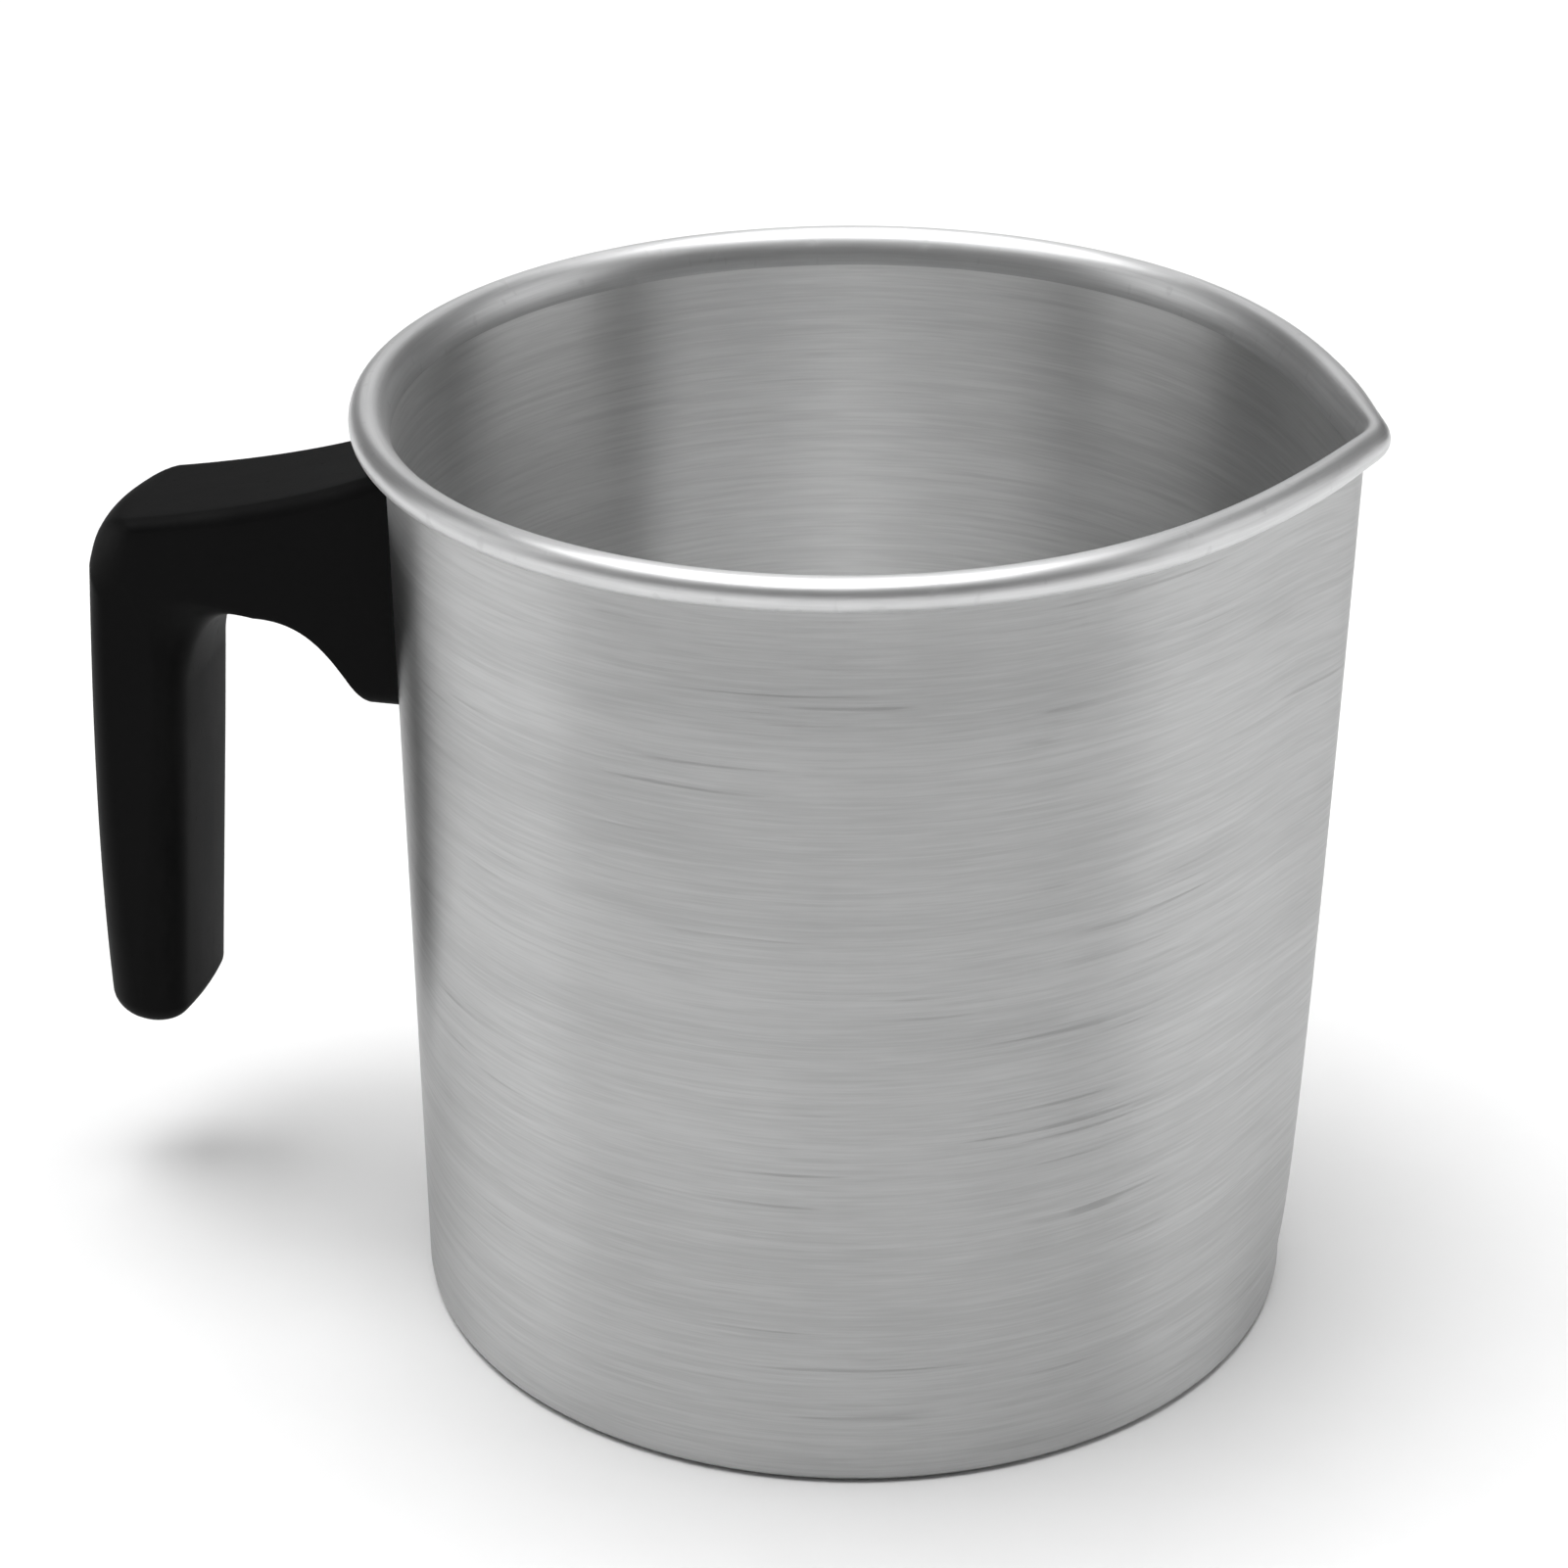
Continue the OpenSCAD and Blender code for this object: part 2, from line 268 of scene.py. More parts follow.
@dataclass(frozen=True)
class BrushedAluminium:
    """Aluminium brushed on a lathe: grooves run round the pot, and the mesh's groove value counts them."""

    name: str = "brushed_wall_painted_shade"
    # The default tone sits far below bare aluminium: painted shade that darkens the wall's reflection of the
    # white floor. The wall and the base keep it.
    dark: tuple[float, float, float] = (0.47, 0.473, 0.473)
    light: tuple[float, float, float] = (0.58, 0.583, 0.583)
    metallic: float = 1.0
    roughness: float = 0.4
    anisotropy: float = 0.92
    groove_depth: float = 0.014
    scratches: float = 1.0

    def build(self) -> bpy.types.Material:
        """Fine grooves, coarser streaks, a few long scratches and faint handling clouds.

        Returns:
            The material.
        """
        g = ShaderGraph.of_material(self.name)
        x, y, z = g.place()
        groove = g.attribute("groove")
        fine = g.noise((x * 0.07, y * 0.07, groove * 2.2), detail=2.5, rough=0.6)
        streak = g.noise((x * 0.026, y * 0.026, groove * 0.8), detail=3.0, rough=0.62)
        band = g.noise((x * 0.004, y * 0.004, groove * 0.11), detail=1.0)
        cloud = g.noise((x * 0.03, y * 0.03, z * 0.03), detail=2.0)
        line = g.noise((x * 0.03 + 7.0, y * 0.03, groove * 1.15), detail=0.0)
        scratch = line.ramp(0.70, 0.80) * cloud.ramp(0.42, 0.62) * self.scratches
        tone = (fine * 0.4 + streak * 0.4 + band * 0.2).ramp(0.34, 0.66)
        rough = self.roughness + (streak - 0.5) * 0.10 + (cloud - 0.5) * 0.08 + scratch * 0.06
        height = fine * 0.5 + streak * 0.5 - scratch * 0.6
        return g.finish(
            Base_Color=g.blend((tone - scratch * 0.5).clamped(), self.dark, self.light),
            Metallic=self.metallic,
            Roughness=rough,
            Anisotropic=self.anisotropy,
            Anisotropic_Rotation=ACROSS_GROOVES,
            Normal=g.bump(height, self.groove_depth),
        )


@dataclass(frozen=True)
class CurledEdge:
    """The rim's rolled sheet, rubbed smoother by the curling tool, with faint forming marks across it; its
    lighter tone is painted highlight.
    """

    name: str = "curled_edge_painted_highlight"
    # Lighter than the wall's tone: painted highlight on the bead. The lower anisotropy stands for the
    # smoother roll.
    dark: tuple[float, float, float] = (0.6, 0.603, 0.606)
    light: tuple[float, float, float] = (0.74, 0.743, 0.746)
    metallic: float = 0.93
    roughness: float = 0.42
    anisotropy: float = 0.4

    def build(self) -> bpy.types.Material:
        """Soft streaks along the rim with short nicks and a slightly uneven roll.

        Returns:
            The material.
        """
        g = ShaderGraph.of_material(self.name)
        x, y, z = g.place()
        groove = g.attribute("groove")
        streak = g.noise((x * 0.05, y * 0.05, groove * 1.4), detail=3.0, rough=0.6)
        ripple = g.noise((x * 0.12, y * 0.12, groove * 0.08), detail=2.0)
        nick = g.noise((x * 0.55, y * 0.55, groove * 0.3), detail=0.0).ramp(0.72, 0.8)
        wear = g.noise((x * 0.02, y * 0.02, z * 0.02), detail=3.0)
        tone = (streak * 0.5 + wear * 0.5).ramp(0.3, 0.7)
        return g.finish(
            Base_Color=g.blend((tone - nick * 0.25).clamped(), self.dark, self.light),
            Metallic=self.metallic,
            Roughness=self.roughness + (wear - 0.5) * 0.10 + nick * 0.05,
            Anisotropic=self.anisotropy,
            Anisotropic_Rotation=ACROSS_GROOVES,
            Normal=g.bump(streak * 0.25 + ripple * 0.9 - nick * 0.15, 0.03),
        )


@dataclass(frozen=True)
class BlackPhenolic:
    """Black moulded phenolic: satin faces with a faint orange peel, and edges rubbed a little shinier."""

    name: str = "moulded_black"
    dark: tuple[float, float, float] = (0.0028, 0.0028, 0.003)
    light: tuple[float, float, float] = (0.0075, 0.0075, 0.0074)
    roughness: float = 0.58
    shine: float = 0.06

    def build(self) -> bpy.types.Material:
        """Flow clouds from the mould, orange peel, rubbed edges and a few hairline scuffs.

        Returns:
            The material.
        """
        g = ShaderGraph.of_material(self.name)
        x, y, z = g.place()
        edge = g.attribute("edge")
        flow = g.noise((x * 0.06, y * 0.10, z * 0.035), detail=4.0, rough=0.6)
        peel = g.noise((x * 1.3, y * 1.3, z * 1.3), detail=2.0)
        grit = g.noise((x * 5.0, y * 5.0, z * 5.0), detail=1.0)
        scuff = g.noise((x * 0.7 + z * 0.3, y * 0.9, z * 0.05), detail=1.0).ramp(0.70, 0.76)
        wear = (edge * flow.ramp(0.35, 0.7)).clamped()
        rough = self.roughness + (flow - 0.5) * 0.12 - wear * 0.08 + (grit - 0.5) * 0.05 + scuff * 0.08
        return g.finish(
            Base_Color=g.blend((flow * 0.6 + wear * 0.5 + scuff * 0.3).clamped(), self.dark, self.light),
            Roughness=rough,
            Specular_IOR_Level=self.shine,
            Normal=g.bump(peel * 0.8 + grit * 0.2 - scuff * 0.2, 0.02, 0.6),
        )


@dataclass(frozen=True)
class PlatedMetal:
    """Small metal parts: turned or pressed, then plated, with fine tool marks and dulled patches."""

    name: str
    dark: tuple[float, float, float]
    light: tuple[float, float, float]
    roughness: float

    def build(self) -> bpy.types.Material:
        """Tool marks round the part's own axis, along X, and dull patches.

        Returns:
            The material.
        """
        g = ShaderGraph.of_material(self.name)
        x, y, z = g.place()
        marks = g.noise((x * 6.0, y * 1.2, z * 1.2), detail=2.0)
        patch = g.noise((x * 0.5, y * 0.5, z * 0.5), detail=3.0)
        tone = (marks * 0.4 + patch * 0.6).ramp(0.3, 0.7)
        return g.finish(
            Base_Color=g.blend(tone, self.dark, self.light),
            Metallic=1.0,
            Roughness=self.roughness + (patch - 0.5) * 0.2,
            Normal=g.bump(marks, 0.01),
        )


class Finish(Enum):
    """The finishes of this pot, by what they cover, with painted shade in the wall's tone and painted light
    in the inside's.
    """

    # The wall: the class's default tone, painted shade on the brushed sheet.
    WALL = BrushedAluminium()
    # The inside: the same sheet in a far lighter tone, painted light that brightens the inside beyond what
    # the soft boxes give it.
    INSIDE = BrushedAluminium("brushed_inside_painted_light", (0.82, 0.822, 0.82), (0.95, 0.952, 0.95), 0.98, 0.4)
    # The base keeps the wall's painted-shade tone.
    BASE = BrushedAluminium(name="brushed_base", groove_depth=0.015, scratches=1.4)
    CURL = CurledEdge()
    HANDLE = BlackPhenolic()
    PLATED = PlatedMetal("zinc_plate", (0.50, 0.51, 0.53), (0.70, 0.71, 0.73), 0.3)
    SPRING = PlatedMetal("dull_spring", (0.30, 0.31, 0.33), (0.46, 0.47, 0.49), 0.4)
    RIVET = PlatedMetal("turned_rivet", (0.60, 0.61, 0.62), (0.78, 0.79, 0.80), 0.34)

    @cache
    def material(self) -> bpy.types.Material:
        """This finish's material, made once."""
        return self.value.build()


# ---------------------------------------------------------------- mesh tools


def grid_mesh(
    name: str,
    points: np.ndarray,
    *,
    wrap: tuple[bool, bool] = (False, False),
    caps: tuple[bool, bool] = (False, False),
    attributes: dict[str, np.ndarray] | None = None,
) -> bpy.types.Mesh:
    """Make a smooth mesh of quads from a grid of points, with optional fans that close its ends.

    Args:
        name: The mesh's name.
        points: Positions in millimetres, of shape (rows, columns, 3).
        wrap: Whether the last row joins the first, and the last column the first.
        caps: Whether a fan closes the first row and the last row, around the row's own middle.
        attributes: Numbers for each grid point, of shape (rows, columns), stored under their names.

    Returns:
        The mesh, in metres, with faces turned outwards when rows climb and columns run anticlockwise.
    """
    rows, cols = points.shape[:2]
    row_step = np.arange(rows if wrap[0] else rows - 1)
    col_step = np.arange(cols if wrap[1] else cols - 1)
    i, j = np.meshgrid(row_step, col_step, indexing="ij")
    i, j = i.ravel(), j.ravel()
    up, along = (i + 1) % rows, (j + 1) % cols
    quads = np.stack([i * cols + j, i * cols + along, up * cols + along, up * cols + j], axis=1)
    verts = points.reshape(-1, 3)
    values = {key: value.reshape(-1) for key, value in (attributes or {}).items()}
    faces = quads.tolist()
    for use, row, turn in ((caps[0], 0, -1), (caps[1], rows - 1, 1)):
        if use:
            middle = len(verts)
            verts = np.vstack([verts, points[row].mean(axis=0)])
            values = {key: np.append(value, attributes[key][row].mean()) for key, value in values.items()}
            ring = row * cols + np.arange(cols)
            fan = np.stack([ring, np.roll(ring, -1), np.full(cols, middle)], axis=1)[:, ::turn]
            faces += fan.tolist()
    mesh = bpy.data.meshes.new(name)
    mesh.from_pydata((verts * MM).tolist(), [], faces)
    for key, value in values.items():
        mesh.attributes.new(key, "FLOAT", "POINT").data.foreach_set("value", value.astype(np.float32))
    mesh.polygons.foreach_set("use_smooth", np.ones(len(mesh.polygons), bool))
    mesh.update()
    return mesh


def show(name: str, mesh: bpy.types.Mesh, body: str = "root") -> bpy.types.Object:
    """Put a mesh in the scene and let it ride on a body.

    Args:
        name: The piece's name.
        mesh: Its finished mesh.
        body: The CAD body that carries it.

    Returns:
        The object, at the origin.
    """
    piece = bpy.data.objects.new(name, mesh)
    bpy.context.scene.collection.objects.link(piece)
    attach(piece, body)
    LOG.info("%s: %d faces", name, len(mesh.polygons))
    return piece


def bezier(controls: Sequence[Sequence[float]], count: int) -> np.ndarray:
    """Points of a Bezier curve: each is the mean of the controls under the binomial weights of its share.

    Args:
        controls: The control points.
        count: How many points are made, both ends included.

    Returns:
        An array of shape (count, dimensions).
    """
    t = np.linspace(0.0, 1.0, count)[:, None]
    degree = len(controls) - 1
    weights = [math.comb(degree, k) * t**k * (1 - t) ** (degree - k) for k in range(degree + 1)]
    return sum(w * np.asarray(c, float) for w, c in zip(weights, controls, strict=True))


def chain(curves: Sequence[Sequence[Sequence[float]]], counts: Sequence[int]) -> np.ndarray:
    """Bezier curves that follow each other, as one line of points.

    Args:
        curves: Each curve's control points; each starts where the one before it ends.
        counts: Each curve's number of steps.

    Returns:
        The points, with no point twice.
    """
    pieces = [bezier(controls, count + 1) for controls, count in zip(curves, counts, strict=True)]
    return np.vstack([pieces[0], *(piece[1:] for piece in pieces[1:])])


def smooth(t: np.ndarray) -> np.ndarray:
    """Smooth step: 3t squared less 2t cubed, of t held between 0 and 1."""
    t = np.clip(t, 0.0, 1.0)
    return t * t * (3 - 2 * t)


# ---------------------------------------------------------------- pot


class Region(IntEnum):
    """The pot's regions, by the number of their material."""

    WALL = 0
    INSIDE = 1
    CURL = 2
    BASE = 3


@dataclass
class PotSheet:
    """The pot itself: one sheet, drawn into a cup, curled at the rim and pinched into a lip."""

    height: float
    rim_reach: float
    sheet: float = 1.2
    base_t: float = 1.5
    corner_r: float = 2.2
    curl_r: float = 2.85
    roll_h: float = 6.0
    taper: float = 0.8
    lip_out: float = 6.9
    lip_dip: float = 3.2
    lip_spread: float = 13.5
    lip_nose: float = 1.8
    flank_spread: float = 65.0
    lip_from: float = 8.0
    lip_fade: float = 0.6
    curl_tuck: float = 1.6
    tuck_spread: float = 9.0
    curl_end: float = -110.0
    crowding: float = 0.72
    sections: int = 540
    wall_steps: int = 44
    curl_steps: int = 30
    base_rings: int = 26

    @classmethod
    def from_frame(cls) -> "PotSheet":
        """The pot at the size of its CAD node: as tall as it, and as wide across the rim's sides.

        The rim is drawn in by a hair, so the finer rings stay inside the CAD node's box.

        Returns:
            The pot's sizes.
        """
        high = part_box("pot_body")[1] / MM
        margin = 0.02
        return cls(height=high.z, rim_reach=high.y - margin)

    @property
    def curl_off(self) -> float:
        """From the wall's outer face to the middle of the curl."""
        return self.curl_r - 0.15

    @property
    def wall_r_top(self) -> float:
        """The round wall's radius at the rim: the rim's sideways reach less the curl, plus the dip there."""
        sideways_dip = self.lip_dip * math.exp(-((90.0 / self.flank_spread) ** 2))
        return self.rim_reach - self.curl_off - self.curl_r + sideways_dip

    def radius(self, angle: np.ndarray, z: np.ndarray) -> np.ndarray:
        """Outer radius of the wall.

        The round wall widens evenly with height. A lobe, an exponential of the rounded angle, stands out for
        the lip, less a shallow Gaussian dip beside it. Both grow with a power of the height above lip_from.

        Args:
            angle: Degrees from the lip.
            z: Height.

        Returns:
            The radius at each point.
        """
        share = np.clip((z - self.lip_from) / (self.height - self.lip_from), 0, 1) ** self.lip_fade
        rounded = np.sqrt(angle**2 + self.lip_nose**2) - self.lip_nose
        lobe = (self.lip_out + self.lip_dip) * np.exp(-rounded / self.lip_spread)
        dip = self.lip_dip * np.exp(-((angle / self.flank_spread) ** 2))
        return self.wall_r_top - self.taper * (1 - z / self.height) + share * (lobe - dip)

    def on_wall(self, angle: np.ndarray, z: np.ndarray, off: np.ndarray) -> np.ndarray:
        """Points set off from the wall's outer face, along the normal of its outline at that height.

        Args:
            angle: Degrees from the lip.
            z: Height at which the outline is taken.
            off: Distance outwards from it.

        Returns:
            Positions, with x, y and z on the last axis.
        """
        step = 0.1
        r = self.radius(angle, z)
        slope = (self.radius(angle + step, z) - self.radius(angle - step, z)) / np.radians(2 * step)
        c, s = np.cos(np.radians(angle)), np.sin(np.radians(angle))
        size = np.hypot(r, slope)
        x = r * c + off * (r * c + slope * s) / size
        y = r * s + off * (r * s - slope * c) / size
        return np.stack([x, y, z], axis=-1)

    def curl_mid(self, angle: np.ndarray) -> np.ndarray:
        """Offset of the curl's middle, which tucks in closer at the lip's tip."""
        return self.curl_off - self.curl_tuck * np.exp(-((angle / self.tuck_spread) ** 2))

    def section(self) -> dict[str, np.ndarray]:
        """The sheet's section, walked from the inner corner up, over the curl, and down to the outer corner.

        Returns:
            Arrays with one entry to a point: its height z and offset off from the wall's outer face, and on
            the curl its angle turn round the tube and its depth below the tube's surface, with curl saying
            which points those are.
        """
        top = self.height - self.roll_h
        inner_r = self.corner_r - self.sheet
        quarter = np.radians(np.linspace(0, 90, 7))
        rows = []

        def wall(z: np.ndarray, off: np.ndarray) -> None:
            """Add a stretch of wall."""
            rows.append(np.stack([z, off, 0 * z, 0 * z, 0 * z], axis=1))

        def curl(begin: float, end: float, depth: float, count: int) -> None:
            """Add a stretch of the curl."""
            b = np.linspace(begin, end, count)
            rows.append(np.stack([0 * b, 0 * b, b, depth + 0 * b, 1 + 0 * b], axis=1))

        wall(self.base_t + inner_r * (1 - np.cos(quarter)), -self.sheet - inner_r * (1 - np.sin(quarter)))
        inner_z = np.linspace(self.base_t + inner_r, top, self.wall_steps + 1)[1:-1]
        wall(inner_z, 0 * inner_z - self.sheet)
        curl(180, self.curl_end, 0, self.curl_steps)
        curl(self.curl_end - 6, self.curl_end - 6, self.sheet / 2, 1)
        curl(self.curl_end, 180, self.sheet, self.curl_steps)
        outer_z = np.linspace(top, self.corner_r, self.wall_steps + 1)[1:-1]
        wall(outer_z, 0 * outer_z)
        wall(self.corner_r * (1 - np.cos(quarter[::-1])), -self.corner_r * (1 - np.sin(quarter[::-1])))
        return dict(zip(("z", "off", "turn", "depth", "curl"), np.vstack(rows).T, strict=True))

    def surface(self) -> tuple[np.ndarray, np.ndarray, np.ndarray]:
        """The section carried round every angle, with rings that run on across the base inside and below.

        The tube of the curl is a circle on its outer half. Its inner half is a taller, wider ellipse that
        runs straight into the wall's inner face. The groove count is the length walked along the section.

        Returns:
            The grid of positions by angle and then by section point, the groove count at each, and the Region
            of each section point.
        """
        u = 2 * math.pi * np.arange(self.sections) / self.sections - math.pi
        angle = np.degrees(u - self.crowding * np.sin(u))[:, None]
        line = self.section()
        b = np.radians(line["turn"])
        mid = self.curl_mid(angle)
        reach = np.where(line["turn"] > 90, mid + self.sheet, self.curl_r)
        lift = np.where(line["turn"] > 90, self.roll_h, self.curl_r)
        on_curl = line["curl"] > 0
        off = np.where(on_curl, mid + (reach - line["depth"]) * np.cos(b), line["off"])
        z = np.where(on_curl, self.height - lift + (lift - line["depth"]) * np.sin(b), line["z"])
        grid = self.on_wall(angle, z + 0 * angle, off)
        share = (np.arange(1, self.base_rings) / self.base_rings)[:, None]
        flatten, keep = np.array([1.0, 1.0, 0.0]), np.array([0.0, 0.0, 1.0])
        inner = grid[:, :1] * (flatten * share + keep)
        outer = grid[:, -1:] * (flatten * share[::-1] + keep)
        grid = np.concatenate([inner, grid, outer], axis=1)
        steps = np.linalg.norm(np.diff(grid, axis=1), axis=2)
        groove = np.concatenate([np.zeros((self.sections, 1)), np.cumsum(steps, axis=1)], axis=1)
        wall = np.where(np.cumsum(on_curl) > 0, Region.WALL, Region.INSIDE)
        region = np.where(on_curl, Region.CURL, wall)
        base = np.full(len(share), Region.BASE)
        return grid, groove, np.concatenate([base, region, base])

    def build(self) -> bpy.types.Object:
        """Make the pot and dress its wall, outside and inside, its curl and its base.

        Returns:
            The pot.
        """
        grid, groove, region = self.surface()
        rows, counts = np.moveaxis(grid, 0, 1), np.moveaxis(groove, 0, 1)
        mesh = grid_mesh("pot", rows, wrap=(False, True), caps=(True, True), attributes={"groove": counts})
        strips = np.repeat(np.minimum(region[1:], region[:-1]), self.sections)
        fans = np.full(2 * self.sections, Region.BASE)
        mesh.polygons.foreach_set("material_index", np.concatenate([strips, fans]).astype(np.int32))
        mesh.flip_normals()
        for place in Region:
            mesh.materials.append(Finish[place.name].material())
        piece = show("pot", mesh)
        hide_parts("pot_body")
        return piece


# ---------------------------------------------------------------- handle


@dataclass
class HookHandle:
    """The moulded handle: an arm that leaves the wall, bends down and ends in an open grip."""

    out: float
    end: float
    width: float
    screw_z: float
    wall_r: float = 77.91
    root: float = 74.0
    top: float = 149.2
    lip: float = 105.1
    grip_in: float = 118.2
    grip_taper: float = 4.4
    arch_z: float = 119.1
    arm_edge_r: float = 3.0
    grip_edge_r: float = 6.0
    crown: float = 1.3
    shoulder_crown: float = 1.4
    shoulder_edge: float = 2.0
    end_r: float = 4.0
    end_slant: float = 2.5
    back_bulge: float = 0.18
    pocket_gap: float = 0.8
    bridge_half: float = 9.5
    bore_r: float = 2.75
    seat_r: float = 5.6
    past_rim: float = 170.0
    past_grip: float = 160.0
    steps: tuple[int, int, int, int, int] = (24, 18, 36, 40, 60)

    @classmethod
    def from_frame(cls) -> "HookHandle":
        """The handle at the reach, length and width of its CAD node, and at its screw's height.

        The grip's back bulges past its own end by back_bulge. The slanted end's last section is tilted, so
        it closes that much less below the end of the inner line.

        Returns:
            The handle's sizes.
        """
        low, high = (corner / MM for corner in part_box("handle"))
        screw = [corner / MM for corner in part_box("handle_screw")]
        out = -low.x - cls.back_bulge
        slope = cls.end_slant / (out - cls.grip_in - cls.grip_taper)
        return cls(
            out=out,
            end=low.z + cls.end_slant + cls.end_r * (1 - slope),
            width=high.y - low.y,
            screw_z=(screw[0].z + screw[1].z) / 2,
        )

    def outer_line(self) -> np.ndarray:
        """The upper and outer outline in side view, as [distance from the pot's axis, height].

        Three Bezier curves follow each other: the arm's hollow top, the shoulder, and the back of the grip.

        Returns:
            The points, as many as inner_line gives.
        """
        shoulder = (self.out - 3.1, self.top - 22.6)
        curves = (
            [(self.root, self.top + 1.6), (92, self.top - 7.9), (126, self.top - 13.6)],
            [(126, self.top - 13.6), (134.2, self.top - 13.8), shoulder],
            [shoulder, (self.out - 1.5, 104), (self.out + 0.8, 70), (self.out, self.end)],
        )
        lip, heel, rise, bend, grip = self.steps
        return chain(curves, (lip + heel + rise, bend, grip))

    def inner_line(self) -> np.ndarray:
        """The lower and inner outline: lip, rounded heel, rise, arch, and the front of the grip.

        Returns:
            The points, each paired with one of outer_line.
        """
        heel = (85.9, self.lip + 2.8)
        arch = (102.5, self.arch_z)
        inside = (self.grip_in - 0.3, self.arch_z - 15.6)
        end = (self.grip_in + self.grip_taper, self.end - self.end_slant)
        curves = (
            [(self.root, self.lip), (82.4, self.lip)],
            [(82.4, self.lip), (84.4, self.lip), heel],
            [heel, (89.6, self.arch_z - 5.2), (93.2, self.arch_z), arch],
            [arch, (109.5, self.arch_z), (self.grip_in - 2.2, self.arch_z - 3.6), inside],
            [inside, (self.grip_in + 1.2, 82), (self.grip_in + 2.8, 60), end],
        )
        return chain(curves, self.steps)

    def surface(self) -> tuple[np.ndarray, np.ndarray]:
        """A rounded rectangle across each pair of points, closed at the grip's end.

        On the grip its outer and inner sides swell by a parabola across the width, and over the shoulder of
        the bend by half a sine more. At the end the section is drawn in and moved down over a quarter circle.

        Returns:
            The grid of positions, and at each point how far it lies on a rounded edge, from 0 to 1.
        """
        far, near = self.outer_line(), self.inner_line()
        lip, heel, rise, bend, _ = self.steps
        along = np.clip((np.arange(len(far)) - (lip + heel + rise)) / bend, 0, 1)
        quarter = np.linspace(0, math.pi / 2, 15)[1:]
        far, near = (np.vstack([line, np.repeat(line[-1:], len(quarter), axis=0)]) for line in (far, near))
        ease = np.concatenate([np.zeros(len(along)), quarter])[:, None]
        along = np.append(along, np.ones(len(quarter)))[:, None]
        grip, shoulder = smooth(along), np.sin(math.pi * along)
        inset, drop = self.end_r * (1 - np.cos(ease)), self.end_r * np.sin(ease)
        middle, span = (far + near) / 2, np.linalg.norm(far - near, axis=1)[:, None]
        way = (far - near) / span
        crown = self.crown * grip + self.shoulder_crown * shoulder
        half_h = span / 2 - crown - inset
        half_w = self.width / 2 - inset
        edge_r = self.arm_edge_r + (self.grip_edge_r - self.arm_edge_r) * grip + self.shoulder_edge * shoulder
        r = np.minimum(edge_r, np.minimum(half_h, half_w) - 0.3)
        arc = np.radians(np.linspace(0, 90, 13))
        flat = np.linspace(1, -1, 15)[1:-1]
        on_arc, on_flat = np.sin(2 * arc) ** 2, np.zeros(len(flat))
        upright = np.linspace(1, -1, 11)[1:-1]
        side = half_h - r
        corner_y, corner_h = half_w - r + r * np.cos(arc), side + r * np.sin(arc)
        half = [
            (corner_y, corner_h, on_arc),
            ((half_w - r) * flat, half_h + 0 * flat, on_flat),
            (-corner_y[:, ::-1], corner_h[:, ::-1], on_arc),
        ]
        wall = (-half_w + 0 * upright, side * upright, np.zeros(len(upright)))
        y = np.hstack([part[0] for part in half])
        h = np.hstack([part[1] for part in half]) + crown * (1 - (y / half_w) ** 2)
        y = np.hstack([y, wall[0], -y, -wall[0]])
        h = np.hstack([h, wall[1], -h, -wall[1]])
        edge = np.concatenate([*(part[2] for part in half), wall[2]] * 2)
        out = middle[:, :1] + way[:, :1] * h
        up = middle[:, 1:] + way[:, 1:] * h - drop
        return np.stack([-out, y, up], axis=-1), np.tile(edge, (len(out), 1))

    def cutters(self) -> list[bpy.types.Object]:
        """The solids taken out of the moulding: the pot's wall, the bracket's pocket and the screw's bore.

        Returns:
            The cutters, in the scene.
        """
        low, high = (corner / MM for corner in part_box("handle_bracket"))
        half = (high.z - low.z) / 2 + self.pocket_gap
        wide = high.y - low.y + 2 * self.pocket_gap
        inner = self.root - 2
        flange = (inner, self.wall_r + 4)
        bridge = (inner, -low.x + self.pocket_gap)
        seat = -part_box("flat_washer")[1].x / MM
        axis = (0, self.screw_z)
        up, out = (0, 0, 1), (-1, 0, 0)
        return [
            cylinder("wall_cut", self.wall_r, 0.0, self.past_rim, up, (0, 0), 512),
            block("flange_cut", flange, half, wide, self.screw_z),
            block("bridge_cut", bridge, self.bridge_half, wide, self.screw_z),
            cylinder("bore_cut", self.bore_r, inner, self.past_grip, out, axis, 48),
            cylinder("seat_cut", self.seat_r, seat, self.past_grip, out, axis, 64),
        ]

    def build(self) -> bpy.types.Object:
        """Make the moulding, cut its pocket and bores, and dress it.

        Returns:
            The handle.
        """
        grid, edge = self.surface()
        ends = {"wrap": (False, True), "caps": (True, True)}
        mesh = grid_mesh("handle_moulding", grid, **ends, attributes={"edge": edge})
        mesh.flip_normals()
        piece = show("handle_moulding", mesh)
        for cutter in self.cutters():
            cut(piece, cutter)
        piece.data.set_sharp_from_angle(angle=math.radians(35))
        piece.data.materials.clear()
        piece.data.materials.append(Finish.HANDLE.material())
        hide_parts("handle")
        return piece


def cutter_of(name: str, rows: np.ndarray) -> bpy.types.Object:
    """Put a closed cutter in the scene.

    Args:
        name: The cutter's name.
        rows: Its rings of points.

    Returns:
        The cutter.
    """
    cutter = bpy.data.objects.new(name, grid_mesh(name, rows, wrap=(False, True), caps=(True, True)))
    bpy.context.scene.collection.objects.link(cutter)
    return cutter


